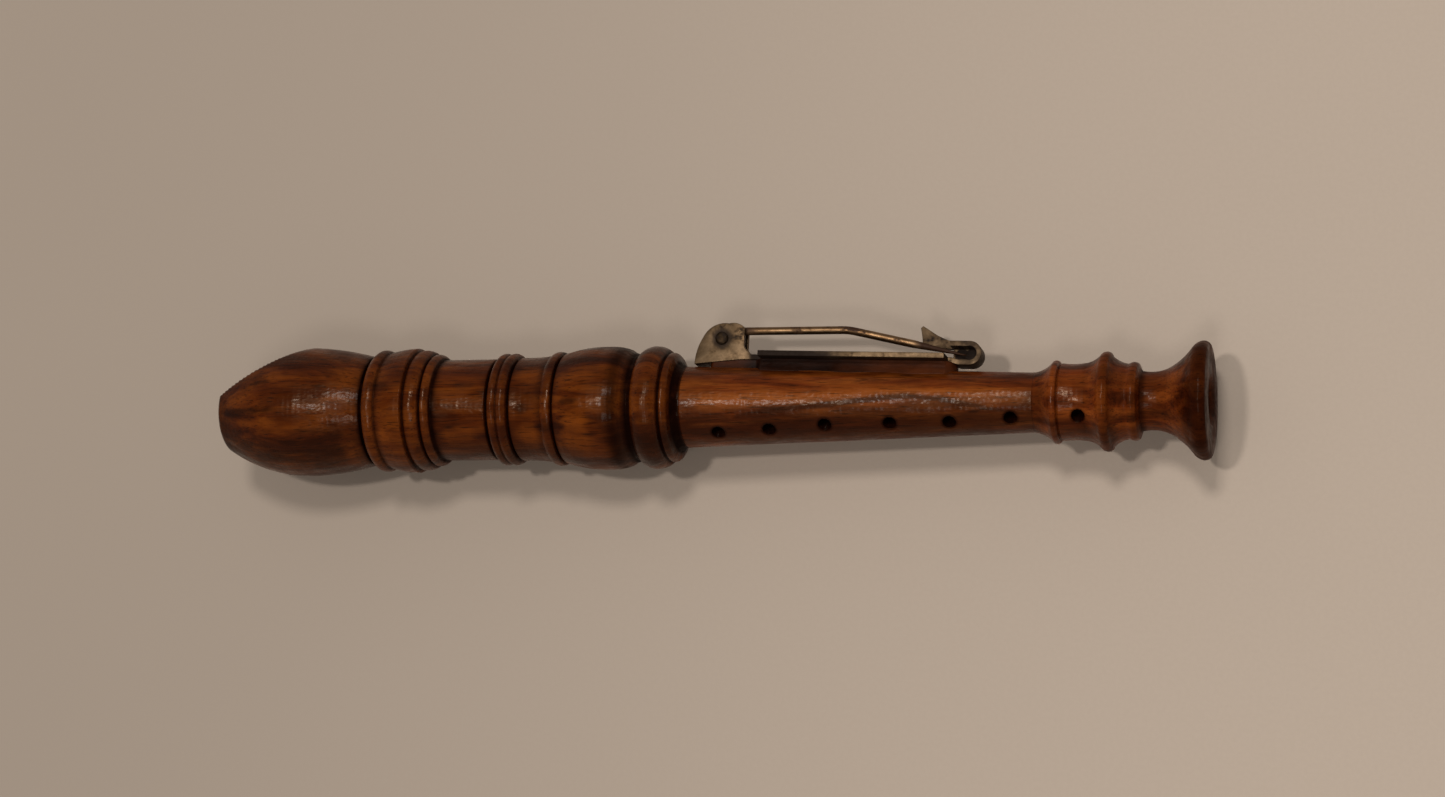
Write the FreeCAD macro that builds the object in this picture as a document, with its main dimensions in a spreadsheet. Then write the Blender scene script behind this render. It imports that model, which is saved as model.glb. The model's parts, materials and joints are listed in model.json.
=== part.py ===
"""Miniature soprano recorder brooch: three turned and glued wooden joints with a bar pin on the back.

Design frame: +X runs along the recorder's axis from the beak to the bell, +Z points out through
the middle of the bar pin.  The finished brooch is then laid down as it rests on a table.
"""
import FreeCAD, Part
import math
import os

import Sketcher
from FreeCAD import Placement, Rotation, Vector

PLANE_OF = {"XY": "XY_Plane", "XZ": "XZ_Plane", "YZ": "YZ_Plane"}

# Driving dimensions in millimetres and degrees: alias, value, meaning.
DIMENSIONS = (
    ("beak_end", 1.15, "station of the beak's end face"),
    ("head_end", 43.4, "station of the shoulder between head and middle joint"),
    ("middle_end", 73.2, "station of the shoulder between middle and foot joint"),
    ("bell_end", 87.6, "station of the bell's end face"),
    ("bulge_radius", 5.63, "largest radius of the head"),
    ("tube_radius", 4.38, "plain part of the head between its beads"),
    ("upper_radius", 3.45, "middle joint at the head"),
    ("lower_radius", 2.50, "middle joint at the foot"),
    ("bell_radius", 4.90, "rim of the bell"),
    ("bevel_start", 0.03, "beak bevel: height above the axis at station 0"),
    ("bevel_angle", 30.0, "beak bevel: slope towards the bulge"),
    ("upper_tenon_radius", 1.80, "tenon glued into the head"),
    ("upper_tenon_length", 5.0, "tenon glued into the head"),
    ("lower_tenon_radius", 1.40, "tenon glued into the foot"),
    ("lower_tenon_length", 3.0, "tenon glued into the foot"),
    ("bell_bore_radius", 1.60, "drilled mouth of the bell"),
    ("bell_bore_depth", 8.1, "drilled mouth of the bell"),
    ("finger_hole_radius", 0.56, "drilled finger holes"),
    ("finger_hole_depth", 1.5, "drilled finger holes"),
    ("hinge_station", 46.15, "station of the bar pin's hinge"),
    ("glue_thickness", 0.60, "glue between the wood's crown and the bar"),
    ("sheet_thickness", 0.45, "bar pin sheet"),
    ("bar_width", 5.0, "bar pin strip"),
    ("bar_start", 3.65, "hinge to the full-width strip"),
    ("bar_finish", 19.65, "hinge to the strip's far end"),
    ("bar_hole_radius", 0.65, "holes in the strip"),
    ("neck_width", 1.70, "over the two ears"),
    ("ear_gap", 0.90, "between the two ears"),
    ("hinge_height", 2.40, "hinge axis above the wood's crown"),
    ("rivet_radius", 0.40, "hinge rivet shank"),
    ("rivet_head_radius", 0.56, "hinge rivet heads"),
    ("rivet_head_height", 0.20, "hinge rivet heads"),
    ("ear_hole_radius", 0.43, "rivet holes in the ears"),
    ("eye_clearance", 0.05, "pin eye around the rivet, radial"),
    ("wire_radius", 0.34, "pin wire"),
    ("wire_bend_at", 10.80, "hinge to the bend in the pin"),
    ("wire_bend_height", 3.46, "bend in the pin above the wood's crown"),
    ("wire_bend_radius", 5.0, "bend in the pin, centre line"),
    ("wire_end_at", 21.05, "hinge to the pin's point"),
    ("wire_end_height", 1.40, "pin's point above the wood's crown"),
    ("point_length", 4.6, "tapered point of the pin"),
    ("point_radius", 0.06, "end of the tapered point"),
    ("catch_width", 1.80, "tongue and hook"),
    ("hook_centre_at", 21.45, "hinge to the hook's centre"),
    ("hook_height", 1.44, "hook's centre above the wood's crown"),
    ("hook_radius", 1.02, "hook, outside"),
    ("pin_side_angle", 90.0, "pin direction from straight up, as the brooch lies"),
    ("lie_angle", 0.543, "axis slopes down to the bell as the brooch lies"),
)

# Finger holes: station along the axis, and angle from the middle of the bar pin.
# They were drilled by hand, so their line wanders.
FINGER_HOLES = (
    (46.6, 143.0), (51.0, 140.5), (55.8, 135.0), (61.3, 135.7),
    (66.3, 137.0), (71.4, 132.0), (77.1, 123.5),
)

# Turned outlines: station along the axis, radius, and how far the edge that leads there bulges
# outwards (positive) or sinks in (negative) as an arc.  A word stands for a driving dimension.
HEAD_OUTLINE = (
    ("beak_end", 0.0, 0), ("beak_end", 2.60, 0), (1.50, 3.50, 0.10), (9.40, "bulge_radius", 0.63),
    (15.0, 4.72, 0.151), (15.15, 4.46, 0), (15.32, 4.78, 0), (16.5, 5.05, 0.40),
    (18.95, 5.42, 0.09), (19.14, 5.02, 0), (19.32, 5.16, 0), (20.4, 5.02, 0.14),
    (20.56, 4.66, 0), (20.72, 4.86, 0), (21.4, "tube_radius", 0.18), (26.3, "tube_radius", 0),
    (26.5, 4.12, 0), (26.66, 4.46, 0), (27.45, 4.62, 0.30), (28.3, 4.60, 0.22),
    (28.45, 4.20, 0), (28.62, 4.46, 0), (31.4, 4.60, -0.08), (32.3, 4.84, 0.17),
    (32.46, 4.44, 0), (32.62, 4.74, 0), (36.4, 5.28, 0.16), (38.3, 4.98, 0.10),
    (39.1, 4.58, -0.05), (39.35, 4.66, 0), (41.65, 4.92, 0.45), (41.85, 4.48, 0),
    (42.0, 4.66, 0), (42.56, 4.22, 0.16), (42.7, 3.82, 0), ("head_end", "upper_radius", -0.10),
)
FOOT_OUTLINE = (
    (74.75, 3.40, -0.16), (75.22, 3.36, 0.09), (75.34, 3.10, 0), (75.48, 3.22, 0),
    (77.6, 3.24, -0.08), (78.8, 4.00, -0.12), (79.5, 4.00, 0.13), (79.66, 3.70, 0),
    (80.9, 3.10, -0.10), (81.05, 3.14, 0), (81.75, 3.12, 0.11), (81.9, 2.70, 0), (82.05, 2.48, 0),
    (84.1, 2.65, -0.15), (86.2, 4.42, -0.17), (87.0, "bell_radius", 0.097), (87.4, 4.80, 0.03),
    ("bell_end", 4.50, 0.04),
)

# Outlines of the bar pin in its own frame: along the bar from the hinge, height above the wood's
# crown, and the arc's rise on the left of the way along the edge (0 for a straight edge).
EAR_OUTLINE = (
    (-2.28, 0.15, -0.16), (1.75, 0.60, 0), (2.70, 0.60, 0), (2.70, 1.05, 0), (1.98, 1.75, 0.08),
    (1.95, 3.36, 0), (0.55, 3.73, -0.20), (-1.65, 2.55, -0.42),
)
FIN_OUTLINE = (
    (17.15, 2.30, 0.05), (19.75, 2.01, 0), (21.30, 2.01, 0), (21.30, 2.44, 0), (19.50, 2.74, 0.03),
    (18.40, 3.20, 0.02), (17.12, 4.00, 0), (16.92, 3.82, 0),
)
BAR_HOLES = (6.2, 16.2)


def make_sheet(doc):
    """Put the driving dimensions in a spreadsheet under their aliases."""
    sheet = doc.addObject("Spreadsheet::Sheet", "Dims")
    for row, (alias, value, meaning) in enumerate(DIMENSIONS, start=1):
        sheet.set(f"A{row}", meaning)
        sheet.set(f"B{row}", str(value))
        sheet.setAlias(f"B{row}", alias)
    doc.recompute()
    return sheet


def size(doc, alias):
    """One driving dimension as a plain number."""
    return float(getattr(doc.Dims, alias))


def value_of(doc, entry):
    """An outline entry is a number or the alias of a driving dimension."""
    return size(doc, entry) if isinstance(entry, str) else float(entry)


def attach(feature, body, plane, offset=0.0):
    """Attach a sketch or primitive to one of its own body's origin planes."""
    for support in body.Origin.OriginFeatures:
        if support.Role == PLANE_OF[plane]:
            feature.AttachmentSupport = [(support, "")]
    feature.MapMode = "FlatFace"
    feature.AttachmentOffset = Placement(Vector(0, 0, offset), Rotation())


def arc_or_line(start, end, rise):
    """The edge between two points: straight, or an arc that rises to the left of its way."""
    if not rise:
        return Part.LineSegment(start, end)
    along = end - start
    left = Vector(-along.y, along.x, 0).normalize()
    middle = (start + end) * 0.5 + left * rise
    return Part.Arc(start, middle, end)


def draw_outline(sketch, doc, points):
    """Draw a closed outline of lines and arcs, and fix its corners with driving constraints."""
    corners = [Vector(value_of(doc, x), value_of(doc, y), 0) for x, y, _ in points]
    ends = []
    for i, corner in enumerate(corners):
        j = (i + 1) % len(corners)
        edge = arc_or_line(corner, corners[j], points[j][2])
        index = sketch.addGeometry(edge, False)
        forward = sketch.getPoint(index, 1).distanceToPoint(corner) < 1e-6
        ends.append((index, 1 if forward else 2, 2 if forward else 1))
        if points[j][2]:
            radius = sketch.Geometry[index].Radius
            sketch.addConstraint(Sketcher.Constraint("Radius", index, radius))
    for i, (index, first, _) in enumerate(ends):
        before, _, last = ends[i - 1]
        sketch.addConstraint(Sketcher.Constraint("Coincident", before, last, index, first))
        fix_corner(sketch, index, first, points[i], corners[i])


def fix_corner(sketch, index, end, point, corner):
    """Hold one corner by its distances from the sketch's origin, bound to the sheet if named."""
    across = ("DistanceX", point[0], corner.x, -2)
    upwards = ("DistanceY", point[1], corner.y, -1)
    for kind, entry, distance, axis in (across, upwards):
        if abs(distance) < 1e-9:
            sketch.addConstraint(Sketcher.Constraint("PointOnObject", index, end, axis))
            continue
        number = sketch.addConstraint(Sketcher.Constraint(kind, -1, 1, index, end, distance))
        if isinstance(entry, str):
            sketch.setExpression(f"Constraints[{number}]", f"Dims.{entry}")


def sketch_on(doc, body, plane, points, name, offset=0.0):
    """A closed outline on one of the body's origin planes."""
    sketch = body.newObject("Sketcher::SketchObject", name)
    attach(sketch, body, plane, offset)
    draw_outline(sketch, doc, points)
    return sketch


def revolve(doc, body, sketch):
    """Turn the outline about the recorder's axis."""
    turned = body.newObject("PartDesign::Revolution", body.Label + "_turned")
    turned.Profile = sketch
    turned.ReferenceAxis = (sketch, ["H_Axis"])
    turned.Angle = 360
    sketch.Visibility = False
    doc.recompute()
    return turned


def extrude(doc, body, kind, sketch, name, length, midplane=False, reverse=False):
    """Pad or Pocket a sketch by a length given as an expression."""
    feature = body.newObject(f"PartDesign::{kind}", name)
    feature.Profile = sketch
    feature.setExpression("Length", length)
    feature.Midplane = midplane
    feature.Reversed = reverse
    before = body.Shape.Volume if kind == "Pocket" else 0.0
    doc.recompute()
    if kind == "Pocket" and body.Shape.Volume > before - 1e-6:
        raise RuntimeError(f"{name} cuts nothing")
    return feature


def drill_finger_holes(doc, body, holes):
    """Blind holes drilled towards the axis, each at its own place and angle."""
    for number, (station, angle) in enumerate(holes, start=1):
        hole = body.newObject("PartDesign::SubtractiveCylinder", f"{body.Label}_hole_{number}")
        hole.setExpression("Radius", "Dims.finger_hole_radius")
        surface = surface_radius(doc, body, station)
        hole.setExpression("Height", "Dims.finger_hole_depth + 1")
        turn = Rotation(Vector(1, 0, 0), angle)
        floor = surface - size(doc, "finger_hole_depth")
        hole.Placement = Placement(Vector(station, 0, 0) + turn.multVec(Vector(0, 0, floor)), turn)
        before = body.Shape.Volume
        doc.recompute()
        if body.Shape.Volume > before - 0.1:
            raise RuntimeError(f"finger hole {number} misses the wood")


def surface_radius(doc, body, station):
    """Radius of the turned wood at a station, found on its own shape."""
    line = Part.makeLine(Vector(station, 0, 0), Vector(station, 20, 0))
    return max(v.Y for v in body.Shape.common(line).Vertexes)


def head_joint(doc):
    """Head with beak, beads and burnt grooves, and the socket for the middle joint's tenon."""
    body = doc.addObject("PartDesign::Body", "head_joint")
    tenon_from = size(doc, "head_end") - size(doc, "upper_tenon_length")
    socket = (
        ("head_end", "upper_tenon_radius", 0), (tenon_from, "upper_tenon_radius", 0),
        (tenon_from, 0.0, 0),
    )
    revolve(doc, body, sketch_on(doc, body, "XZ", HEAD_OUTLINE + socket, "head_outline"))
    slope = math.tan(math.radians(size(doc, "bevel_angle")))
    start = size(doc, "bevel_start")
    reach = 11.0
    bevel = ((-1.0, start - slope, 0), (reach, start + slope * reach, 0), (reach, 8.0, 0), (-1.0, 8.0, 0))
    sketch = sketch_on(doc, body, "XZ", bevel, "beak_bevel_outline")
    extrude(doc, body, "Pocket", sketch, "beak_bevel", "2.5 * Dims.bulge_radius", midplane=True)
    return body


def middle_joint(doc):
    """Tapered middle joint with a tenon at each end and six finger holes."""
    body = doc.addObject("PartDesign::Body", "middle_joint")
    top = size(doc, "head_end") - size(doc, "upper_tenon_length")
    bottom = size(doc, "middle_end") + size(doc, "lower_tenon_length")
    outline = (
        (top, 0.0, 0), (top, "upper_tenon_radius", 0), ("head_end", "upper_tenon_radius", 0),
        ("head_end", "upper_radius", 0), ("middle_end", "lower_radius", 0),
        ("middle_end", "lower_tenon_radius", 0), (bottom, "lower_tenon_radius", 0), (bottom, 0.0, 0),
    )
    revolve(doc, body, sketch_on(doc, body, "XZ", outline, "middle_outline"))
    drill_finger_holes(doc, body, FINGER_HOLES[:-1])
    return body


def foot_joint(doc):
    """Foot with its rings and flared bell, the socket, the bell's drilled mouth and one hole."""
    body = doc.addObject("PartDesign::Body", "foot_joint")
    socket_end = size(doc, "middle_end") + size(doc, "lower_tenon_length")
    bore_end = size(doc, "bell_end") - size(doc, "bell_bore_depth")
    mouth = size(doc, "bell_bore_radius") + 0.6
    outline = (
        (socket_end, 0.0, 0), (socket_end, "lower_tenon_radius", 0),
        ("middle_end", "lower_tenon_radius", 0), ("middle_end", "lower_radius", 0),
    ) + FOOT_OUTLINE + (
        ("bell_end", mouth, 0), (size(doc, "bell_end") - 0.6, "bell_bore_radius", 0),
        (bore_end, "bell_bore_radius", 0), (bore_end - 0.7, 0.0, 0),
    )
    revolve(doc, body, sketch_on(doc, body, "XZ", outline, "foot_outline"))
    drill_finger_holes(doc, body, FINGER_HOLES[-1:])
    return body


def rectangle(x0, x1, half_width):
    """Corner points of a rectangle that is centred across the bar."""
    return ((x0, -half_width, 0), (x1, -half_width, 0), (x1, half_width, 0), (x0, half_width, 0))


def pin_back(doc):
    """Bar pin stamped from one sheet: strip, neck, two hinge ears, tongue, hook and its lip."""
    body = doc.addObject("PartDesign::Body", "pin_back")
    low = size(doc, "glue_thickness")
    top = low + size(doc, "sheet_thickness")
    half = size(doc, "bar_width") / 2
    start, finish = size(doc, "bar_start"), size(doc, "bar_finish")
    strip = sketch_on(doc, body, "XY", rectangle(start, finish, half), "strip_outline", low)
    extrude(doc, body, "Pad", strip, "strip", "Dims.sheet_thickness")
    neck_corners = rectangle(0.0, start + 0.5, size(doc, "neck_width") / 2)
    neck = sketch_on(doc, body, "XY", neck_corners, "neck_outline", low)
    extrude(doc, body, "Pad", neck, "neck", "Dims.sheet_thickness")
    ears = sketch_on(doc, body, "XZ", EAR_OUTLINE, "ear_outline")
    extrude(doc, body, "Pad", ears, "ears", "Dims.neck_width", midplane=True)
    gap = ((-4.0, top, 0), (3.3, top, 0), (3.3, 5.0, 0), (-4.0, 5.0, 0))
    slot = sketch_on(doc, body, "XZ", gap, "ear_slot")
    extrude(doc, body, "Pocket", slot, "between_ears", "Dims.ear_gap", midplane=True)
    add_rivet_hole(doc, body)
    add_catch(doc, body, low, top)
    add_bar_holes(doc, body, low)
    return body


def add_rivet_hole(doc, body):
    """One hole through both ears."""
    sketch = body.newObject("Sketcher::SketchObject", "rivet_hole_outline")
    attach(sketch, body, "XZ")
    centre = Vector(0, size(doc, "hinge_height"), 0)
    circle = sketch.addGeometry(Part.Circle(centre, Vector(0, 0, 1), size(doc, "ear_hole_radius")), False)
    sketch.addConstraint(Sketcher.Constraint("PointOnObject", circle, 3, -2))
    height = sketch.addConstraint(Sketcher.Constraint("DistanceY", -1, 1, circle, 3, centre.y))
    sketch.setExpression(f"Constraints[{height}]", "Dims.hinge_height")
    radius = sketch.addConstraint(Sketcher.Constraint("Radius", circle, size(doc, "ear_hole_radius")))
    sketch.setExpression(f"Constraints[{radius}]", "Dims.ear_hole_radius")
    extrude(doc, body, "Pocket", sketch, "rivet_hole", "Dims.neck_width + 1", midplane=True)


def add_catch(doc, body, low, top):
    """Tongue that dips, turns back as a hook with its lower side closed, and ends in an upright lip."""
    centre_at, height = size(doc, "hook_centre_at"), size(doc, "hook_height")
    outer = size(doc, "hook_radius")
    inner = outer - size(doc, "sheet_thickness")
    root = size(doc, "bar_finish")
    mouth = root + 0.1
    hook = (
        (root - 0.3, low, 0), (root + 0.2, low, 0), (root + 0.9, height - outer, 0),
        (centre_at, height - outer, 0), (centre_at + outer, height, -outer * 0.2929),
        (centre_at, height + outer, -outer * 0.2929), (mouth, height + outer, 0),
        (mouth, height + inner, 0), (centre_at, height + inner, 0),
        (centre_at + inner, height, inner * 0.2929), (centre_at, height - inner, inner * 0.2929),
        (root + 0.9, height - inner, 0), (root + 0.2, top, 0), (root - 0.3, top, 0),
    )
    sketch = sketch_on(doc, body, "XZ", hook, "hook_outline")
    extrude(doc, body, "Pad", sketch, "hook", "Dims.catch_width", midplane=True)
    lower_side = -size(doc, "catch_width") / 2
    lip = sketch_on(doc, body, "XZ", FIN_OUTLINE, "lip_outline", lower_side)
    extrude(doc, body, "Pad", lip, "lip", "Dims.sheet_thickness")
    wall_radius = (outer + inner) / 2
    wall = (
        (root + 0.2, top - 0.2, 0), (root + 0.9, height - wall_radius, 0),
        (centre_at, height - wall_radius, 0), (centre_at + wall_radius, height, -wall_radius * 0.2929),
        (centre_at, height + wall_radius, -wall_radius * 0.2929), (root + 0.2, height + wall_radius, 0),
    )
    closed_side = sketch_on(doc, body, "XZ", wall, "hook_wall_outline", lower_side)
    extrude(doc, body, "Pad", closed_side, "hook_wall", "Dims.sheet_thickness")


def add_bar_holes(doc, body, low):
    """Two round holes in the strip."""
    sketch = body.newObject("Sketcher::SketchObject", "bar_hole_outline")
    attach(sketch, body, "XY", low)
    for place in BAR_HOLES:
        centre = Vector(place, 0, 0)
        round_hole = Part.Circle(centre, Vector(0, 0, 1), size(doc, "bar_hole_radius"))
        circle = sketch.addGeometry(round_hole, False)
        sketch.addConstraint(Sketcher.Constraint("PointOnObject", circle, 3, -1))
        sketch.addConstraint(Sketcher.Constraint("DistanceX", -1, 1, circle, 3, place))
        radius = sketch.addConstraint(Sketcher.Constraint("Radius", circle, size(doc, "bar_hole_radius")))
        sketch.setExpression(f"Constraints[{radius}]", "Dims.bar_hole_radius")
    extrude(doc, body, "Pocket", sketch, "bar_holes", "2 * Dims.sheet_thickness", reverse=True)


def hinge_rivet(doc):
    """Rivet across the ears, with a low domed head at each end."""
    body = doc.addObject("PartDesign::Body", "hinge_rivet")
    clearance = 0.04
    face = size(doc, "neck_width") / 2 + clearance
    crown = face + size(doc, "rivet_head_height")
    shank, head = "rivet_radius", "rivet_head_radius"
    rim = crown - 0.10
    top = size(doc, head) - 0.22
    outline = (
        (-crown, 0.0, 0), (-crown, top, 0), (-rim, head, 0.02), (-face, head, 0), (-face, shank, 0),
        (face, shank, 0), (face, head, 0), (rim, head, 0), (crown, top, 0.02), (crown, 0.0, 0),
    )
    revolve(doc, body, sketch_on(doc, body, "XZ", outline, "rivet_outline"))
    return body


def pin_stem(doc):
    """Pin of round wire: an eye curled around the rivet, a straight run, a bend and a long point."""
    body = doc.addObject("PartDesign::Body", "pin_stem")
    wire = size(doc, "wire_radius")
    eye = size(doc, "rivet_radius") + size(doc, "eye_clearance") + wire
    centre = Vector(0, size(doc, "hinge_height"), 0)
    bend = Vector(size(doc, "wire_bend_at"), size(doc, "wire_bend_height"), 0)
    end = Vector(size(doc, "wire_end_at"), size(doc, "wire_end_height"), 0)
    reach = bend - centre
    leaves_at = math.atan2(reach.y, reach.x) + math.acos(eye / reach.Length)
    start = centre + Vector(math.cos(leaves_at), math.sin(leaves_at), 0) * eye
    first = (bend - start).normalize()
    second = (end - bend).normalize()
    turn = first.getAngle(second)
    setback = size(doc, "wire_bend_radius") * math.tan(turn / 2)
    arc_start = bend - first * setback
    arc_end = bend + second * setback
    inwards = (second - first).normalize()
    middle = bend + inwards * size(doc, "wire_bend_radius") * (1 / math.cos(turn / 2) - 1)
    point_from = end - second * size(doc, "point_length")
    path = body.newObject("Sketcher::SketchObject", "wire_path")
    attach(path, body, "XZ")
    curl = Part.Circle(centre, Vector(0, 0, 1), eye)
    path.addGeometry(Part.ArcOfCircle(curl, leaves_at, 2 * math.pi), False)
    path.addGeometry(Part.LineSegment(start, arc_start), False)
    path.addGeometry(Part.Arc(arc_start, middle, arc_end), False)
    path.addGeometry(Part.LineSegment(arc_end, point_from), False)
    section = body.newObject("Sketcher::SketchObject", "wire_section")
    attach(section, body, "XY", centre.y)
    circle = section.addGeometry(Part.Circle(Vector(eye, 0, 0), Vector(0, 0, 1), wire), False)
    radius = section.addConstraint(Sketcher.Constraint("Radius", circle, wire))
    section.setExpression(f"Constraints[{radius}]", "Dims.wire_radius")
    doc.recompute()
    pipe = body.newObject("PartDesign::AdditivePipe", "wire")
    pipe.Profile = section
    pipe.Spine = (path, ["Edge1", "Edge2", "Edge3", "Edge4"])
    pipe.Mode = "Frenet"
    doc.recompute()
    point = body.newObject("PartDesign::AdditiveCone", "point")
    point.setExpression("Radius1", "Dims.wire_radius")
    point.setExpression("Radius2", "Dims.point_radius")
    point.setExpression("Height", "Dims.point_length")
    way = Vector(second.x, 0, second.y)
    point.Placement = Placement(Vector(point_from.x, 0, point_from.y), Rotation(Vector(0, 0, 1), way))
    doc.recompute()
    return body


def glue_bed(doc, wood, bar, frame):
    """Glue that fills the gap between the round wood and the flat bar."""
    top = size(doc, "glue_thickness")
    deep = 1.4
    inset = 0.5
    bed = doc.addObject("Part::Box", "bed_blank")
    bed.Length = size(doc, "bar_finish") - size(doc, "bar_start") - inset
    bed.Width = size(doc, "bar_width") - 2 * inset
    bed_corner = Vector(size(doc, "bar_start") + 0.1, -bed.Width.Value / 2, -deep)
    bed.Placement = frame * Placement(bed_corner, Rotation())
    neck = doc.addObject("Part::Box", "neck_blank")
    neck.Length = size(doc, "bar_start") + 1.2
    neck.Width = size(doc, "neck_width") - 0.3
    neck_corner = Vector(-1.0, -neck.Width.Value / 2, -deep)
    neck.Placement = frame * Placement(neck_corner, Rotation())
    for blank in (bed, neck):
        blank.Height = top + deep
    blanks = doc.addObject("Part::Fuse", "glue_blanks")
    blanks.Base, blanks.Tool = bed, neck
    on_wood = doc.addObject("Part::Cut", "glue_on_wood")
    on_wood.Base, on_wood.Tool = blanks, wood
    cut = doc.addObject("Part::Cut", "glue_bed")
    cut.Base, cut.Tool = on_wood, bar
    return cut, [bed, neck]


def bar_frame(doc):
    """The bar pin's own frame: on the wood's crown under the hinge, sloping with the taper."""
    run = size(doc, "middle_end") - size(doc, "head_end")
    fall = size(doc, "upper_radius") - size(doc, "lower_radius")
    station = size(doc, "hinge_station")
    crown = size(doc, "upper_radius") - fall * (station - size(doc, "head_end")) / run
    slope = math.degrees(math.atan2(fall, run))
    return Placement(Vector(station, 0, crown), Rotation(Vector(0, 1, 0), slope))


def hinge_frame(doc):
    """The rivet's axis: its outline's X turned across the bar."""
    return Placement(Vector(0, 0, size(doc, "hinge_height")), Rotation(Vector(0, 0, 1), 90))


def move(doc, placed, motion):
    """Move placed objects together; the glue follows the blanks and the wood it is cut from."""
    for thing in placed:
        thing.Placement = motion * thing.Placement
    doc.recompute()


def lay_down(doc, placed, parts):
    """Roll and tilt the brooch as it rests, with its box's bottom centre at the origin."""
    roll = Placement(Vector(), Rotation(Vector(1, 0, 0), -size(doc, "pin_side_angle")))
    tilt = Placement(Vector(), Rotation(Vector(0, 1, 0), size(doc, "lie_angle")))
    move(doc, placed, tilt * roll)
    box = FreeCAD.BoundBox()
    for part in parts:
        box.add(part.Shape.optimalBoundingBox())
    down = Placement(Vector(-box.Center.x, -box.Center.y, -box.ZMin), Rotation())
    move(doc, placed, down)
    return down * tilt * roll


def check(doc, parts):
    """Stop if any object failed or any sub-part isn't a valid solid."""
    for thing in doc.Objects:
        if "Invalid" in thing.State or "Error" in thing.State:
            raise RuntimeError(f"{thing.Label} failed: {thing.State}")
    for part in parts:
        if part.Shape.isNull() or not part.Shape.isValid() or not part.Shape.Solids:
            raise RuntimeError(f"{part.Label} has no valid solid")


def build():
    """Model the brooch and lay it down; also returns where its axis and its bar pin then lie."""
    doc = FreeCAD.newDocument("recorder_brooch")
    make_sheet(doc)
    on_wood = bar_frame(doc)
    head, middle, foot = head_joint(doc), middle_joint(doc), foot_joint(doc)
    back, stem, rivet = pin_back(doc), pin_stem(doc), hinge_rivet(doc)
    back.Placement = on_wood
    stem.Placement = on_wood
    rivet.Placement = on_wood * hinge_frame(doc)
    doc.recompute()
    glue, blanks = glue_bed(doc, middle, back, on_wood)
    doc.recompute()
    bodies = [head, middle, foot, back, stem, rivet]
    parts = bodies + [glue]
    resting = lay_down(doc, bodies + blanks, parts)
    check(doc, parts)
    return doc, parts, resting, resting * on_wood


def main():
    """Build the brooch and write each sub-part's STEP file."""
    _, parts, _, _ = build()
    os.makedirs("parts", exist_ok=True)
    for part in parts:
        part.Shape.exportStep(f"parts/{part.Label}.step")


main()
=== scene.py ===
"""Looks of the miniature recorder brooch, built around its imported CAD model."""
import json
import math

import bmesh
import bpy
import numpy as np
from mathutils import Matrix, Vector


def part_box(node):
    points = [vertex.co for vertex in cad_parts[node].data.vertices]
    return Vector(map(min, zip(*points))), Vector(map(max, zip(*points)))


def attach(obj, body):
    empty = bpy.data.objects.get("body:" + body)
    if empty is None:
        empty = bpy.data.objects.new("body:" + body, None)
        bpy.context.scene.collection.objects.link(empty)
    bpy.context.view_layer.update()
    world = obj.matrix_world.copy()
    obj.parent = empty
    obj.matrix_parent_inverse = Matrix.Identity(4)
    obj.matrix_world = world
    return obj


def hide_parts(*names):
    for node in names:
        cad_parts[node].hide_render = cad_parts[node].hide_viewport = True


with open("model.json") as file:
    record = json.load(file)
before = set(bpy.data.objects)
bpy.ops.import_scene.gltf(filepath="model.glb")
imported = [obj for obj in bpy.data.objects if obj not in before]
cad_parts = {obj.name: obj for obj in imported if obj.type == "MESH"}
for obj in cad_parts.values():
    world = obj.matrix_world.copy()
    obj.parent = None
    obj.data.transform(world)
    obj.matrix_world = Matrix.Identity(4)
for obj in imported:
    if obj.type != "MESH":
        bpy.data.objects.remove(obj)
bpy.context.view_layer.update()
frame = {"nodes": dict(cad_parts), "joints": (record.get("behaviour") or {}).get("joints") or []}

MM = 0.001


# ---------------------------------------------------------------- places, all read from the frame

def joint(name):
    """The record's entry of one joint."""
    return next(j for j in frame["joints"] if j["name"] == name)


def points_of(node):
    """A CAD node's vertices in the row frame, in metres."""
    mesh = frame["nodes"][node].data
    flat = np.empty(len(mesh.vertices) * 3)
    mesh.vertices.foreach_get("co", flat)
    return flat.reshape(-1, 3)


HINGE = Vector(joint("pin_swing")["pos_m"])
UP = Vector(joint("pin_swing")["axis"]).normalized()
ALONG = Vector((UP.z, 0, -UP.x)).normalized()
PIN_SIDE = UP.cross(ALONG)
# The bar pin's own directions: out from the wood, and along the strip towards the catch.
BAR_OUT = -Vector(joint("pin_side_spring")["axis"]).normalized()
BAR_ALONG = BAR_OUT.cross(UP)
# The middle of the bar pin's hook, in mm from the hinge along the strip and out from the wood.
HOOK_AT = 21.45
HOOK_OUT = -0.96
# Radius in mm that the tenons, sockets and the bell's bore stay inside.
CORE = 2.3
# Spacing in mm of the turned pieces' grids along the axis.
GRID = 0.085


def beak_tip():
    """Where the recorder's axis leaves the beak: the head's bulge is centred on that axis."""
    points = points_of("head_joint")
    low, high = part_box("head_joint")
    at_bulge = points[points[:, 2].argmax()]
    centre = Vector((at_bulge[0], (low.y + high.y) / 2, (low.z + high.z) / 2))
    back = ((points - np.array(centre)) @ np.array(ALONG)).min()
    return centre + ALONG * back


TIP = beak_tip()


def polar(points):
    """Distance from the beak tip, radius, both in mm, and angle from the pin's side, of points."""
    away = (points - np.array(TIP)) / MM
    s = away @ np.array(ALONG)
    out, up = away @ np.array(PIN_SIDE), away @ np.array(UP)
    return s, np.hypot(out, up), np.arctan2(up, out)


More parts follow.
